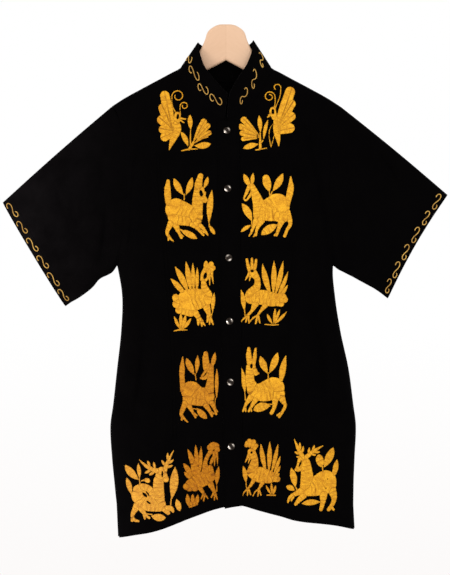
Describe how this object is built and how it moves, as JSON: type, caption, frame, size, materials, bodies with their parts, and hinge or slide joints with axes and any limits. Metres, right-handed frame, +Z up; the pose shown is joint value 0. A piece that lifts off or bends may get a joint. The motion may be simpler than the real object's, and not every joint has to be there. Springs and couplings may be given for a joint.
{
  "type": "guayabera shirt on a clothes hanger",
  "caption": "Short-sleeved shirt with a stand collar, snap placket, pin tucks and embroidered animals, hanging on a plain wooden hanger.",
  "frame": {"origin": "middle of the top of the hanger's block, where the hanger is held up", "axes": "+Z up, +X to the wearer's left, -Y to the wearer's front"},
  "size_m": [0.7916, 0.1043, 0.9111],
  "materials": {
    "black_cotton": "matte plain-weave cotton",
    "snap_metal": "polished snap cap",
    "pale_wood": "clear satin varnish",
    "gold_thread": "satin-stitch cotton thread"
  },
  "bodies": {
    "root": {"back": "black_cotton", "front_right": "black_cotton", "front_left": "black_cotton", "placket": "black_cotton", "collar": "black_cotton", "sleeve_right": "black_cotton", "sleeve_left": "black_cotton", "snap_1": "snap_metal", "snap_2": "snap_metal", "snap_3": "snap_metal", "snap_4": "snap_metal", "snap_5": "snap_metal", "snap_6": "snap_metal", "hanger": "pale_wood"}
  },
  "joints": []
}
